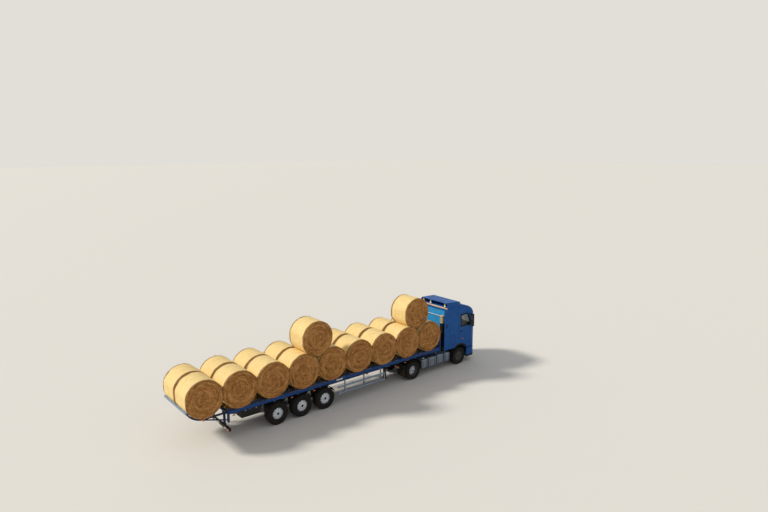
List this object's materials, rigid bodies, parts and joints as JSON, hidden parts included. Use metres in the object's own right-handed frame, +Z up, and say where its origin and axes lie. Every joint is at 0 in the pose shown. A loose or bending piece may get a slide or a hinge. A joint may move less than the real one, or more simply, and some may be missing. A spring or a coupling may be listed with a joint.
{
  "type": "articulated flatbed lorry loaded with round straw bales",
  "caption": "Articulated flatbed lorry with round bales in two rows: turning wheels, steering, tilting cab, opening doors and a swinging tractor.",
  "frame": {"origin": "on the ground, halfway along the lorry, on its centre plane", "axes": "+X forward, +Y to the lorry's left, +Z up"},
  "size_m": [17.82, 3.06, 4.5098],
  "materials": {
    "blue_paint": "gloss",
    "dark_blue_paint": "satin",
    "black_paint": "satin",
    "rim_paint": "satin",
    "engine_iron": "matte",
    "aluminium": "satin",
    "tyre": "matte",
    "black_plastic": "matte",
    "grey_trim": "matte",
    "smoked_plastic": "gloss",
    "red_lens": "gloss",
    "clear_lens": "gloss",
    "seat_cloth": "matte",
    "straw": "matte",
    "deck_board": "matte",
    "glass": "gloss"
  },
  "bodies": {
    "trailer": {"trailer_frame": "dark_blue_paint", "rear_rack": "dark_blue_paint", "trailer_axles": "black_paint", "side_rails": "blue_paint", "headboard": "blue_paint", "deck_floor": "deck_board", "rear_lamps": "red_lens", "trailer_mudguards": "black_plastic", "side_guards": "aluminium", "landing_legs": "black_paint", "toolbox": "black_plastic", "bales_lower": "straw", "bales_top": "straw"},
    "toolbox_lid": {"toolbox_lid": "black_plastic"},
    "tractor": {"tractor_frame": "black_paint", "fifth_wheel": "black_paint", "engine": "engine_iron", "tractor_axles": "black_paint", "tanks": "aluminium", "tractor_mudguards": "black_plastic", "bumper": "blue_paint", "headlamps": "clear_lens"},
    "knuckle_left": {"knuckle_left": "black_paint"},
    "knuckle_right": {"knuckle_right": "black_paint"},
    "cab": {"cab_floor": "grey_trim", "cab_rear_wall": "blue_paint", "cab_sides": "blue_paint", "cab_roof": "blue_paint", "cab_front": "blue_paint", "windscreen": "glass", "dashboard": "grey_trim", "seats": "seat_cloth", "air_deflectors": "blue_paint", "sun_visor": "smoked_plastic"},
    "door_left": {"door_left": "blue_paint", "door_glass_left": "glass", "mirror_left": "black_plastic"},
    "door_right": {"door_right": "blue_paint", "door_glass_right": "glass", "mirror_right": "black_plastic"},
    "wheel_trailer_rear_left": {"tyre_trailer_rear_left": "tyre", "rim_trailer_rear_left": "rim_paint"},
    "wheel_trailer_rear_right": {"tyre_trailer_rear_right": "tyre", "rim_trailer_rear_right": "rim_paint"},
    "wheel_trailer_middle_left": {"tyre_trailer_middle_left": "tyre", "rim_trailer_middle_left": "rim_paint"},
    "wheel_trailer_middle_right": {"tyre_trailer_middle_right": "tyre", "rim_trailer_middle_right": "rim_paint"},
    "wheel_trailer_front_left": {"tyre_trailer_front_left": "tyre", "rim_trailer_front_left": "rim_paint"},
    "wheel_trailer_front_right": {"tyre_trailer_front_right": "tyre", "rim_trailer_front_right": "rim_paint"},
    "wheel_drive_left": {"tyre_drive_left": "tyre", "rim_drive_left": "rim_paint"},
    "wheel_drive_right": {"tyre_drive_right": "tyre", "rim_drive_right": "rim_paint"},
    "wheel_steer_left": {"tyre_steer_left": "tyre", "rim_steer_left": "rim_paint"},
    "wheel_steer_right": {"tyre_steer_right": "tyre", "rim_steer_right": "rim_paint"}
  },
  "joints": [
    {"name": "articulation", "type": "hinge", "parent": "trailer", "child": "tractor", "pos_m": [4.36, 0, 1.1], "axis": [0, 0, 1], "range_deg": [-90, 90]},
    {"name": "spin_trailer_rear_left", "type": "hinge", "parent": "trailer", "child": "wheel_trailer_rear_left", "pos_m": [-4.62, 1.04, 0.536], "axis": [0, 1, 0], "continuous": true},
    {"name": "spin_trailer_rear_right", "type": "hinge", "parent": "trailer", "child": "wheel_trailer_rear_right", "pos_m": [-4.62, -1.04, 0.536], "axis": [0, 1, 0], "continuous": true},
    {"name": "spin_trailer_middle_left", "type": "hinge", "parent": "trailer", "child": "wheel_trailer_middle_left", "pos_m": [-3.31, 1.04, 0.536], "axis": [0, 1, 0], "continuous": true},
    {"name": "spin_trailer_middle_right", "type": "hinge", "parent": "trailer", "child": "wheel_trailer_middle_right", "pos_m": [-3.31, -1.04, 0.536], "axis": [0, 1, 0], "continuous": true},
    {"name": "spin_trailer_front_left", "type": "hinge", "parent": "trailer", "child": "wheel_trailer_front_left", "pos_m": [-2, 1.04, 0.536], "axis": [0, 1, 0], "continuous": true},
    {"name": "spin_trailer_front_right", "type": "hinge", "parent": "trailer", "child": "wheel_trailer_front_right", "pos_m": [-2, -1.04, 0.536], "axis": [0, 1, 0], "continuous": true},
    {"name": "spin_drive_left", "type": "hinge", "parent": "tractor", "child": "wheel_drive_left", "pos_m": [3.81, 0.92, 0.507], "axis": [0, 1, 0], "continuous": true},
    {"name": "spin_drive_right", "type": "hinge", "parent": "tractor", "child": "wheel_drive_right", "pos_m": [3.81, -0.92, 0.507], "axis": [0, 1, 0], "continuous": true},
    {"name": "steer_left", "type": "hinge", "parent": "tractor", "child": "knuckle_left", "pos_m": [7.47, 0.84, 0.507], "axis": [0, 0, 1], "range_deg": [-40, 40]},
    {"name": "spin_steer_left", "type": "hinge", "parent": "knuckle_left", "child": "wheel_steer_left", "pos_m": [7.47, 1.04, 0.507], "axis": [0, 1, 0], "continuous": true},
    {"name": "steer_right", "type": "hinge", "parent": "tractor", "child": "knuckle_right", "pos_m": [7.47, -0.84, 0.507], "axis": [0, 0, 1], "range_deg": [-40, 40]},
    {"name": "spin_steer_right", "type": "hinge", "parent": "knuckle_right", "child": "wheel_steer_right", "pos_m": [7.47, -1.04, 0.507], "axis": [0, 1, 0], "continuous": true},
    {"name": "cab_tilt", "type": "hinge", "parent": "tractor", "child": "cab", "pos_m": [8.8, 0, 0.95], "axis": [0, 1, 0], "range_deg": [0, 60]},
    {"name": "door_left_swing", "type": "hinge", "parent": "cab", "child": "door_left", "pos_m": [8.4, 1.25, 2], "axis": [0, 0, -1], "range_deg": [0, 70]},
    {"name": "door_right_swing", "type": "hinge", "parent": "cab", "child": "door_right", "pos_m": [8.4, -1.25, 2], "axis": [0, 0, 1], "range_deg": [0, 70]},
    {"name": "toolbox_lid_drop", "type": "hinge", "parent": "trailer", "child": "toolbox_lid", "pos_m": [-5.975, -1.225, 0.87], "axis": [1, 0, 0], "range_deg": [0, 90]}
  ],
  "couplings": [
    {"joint": "steer_right", "follows": "steer_left", "ratio": 1}
  ]
}
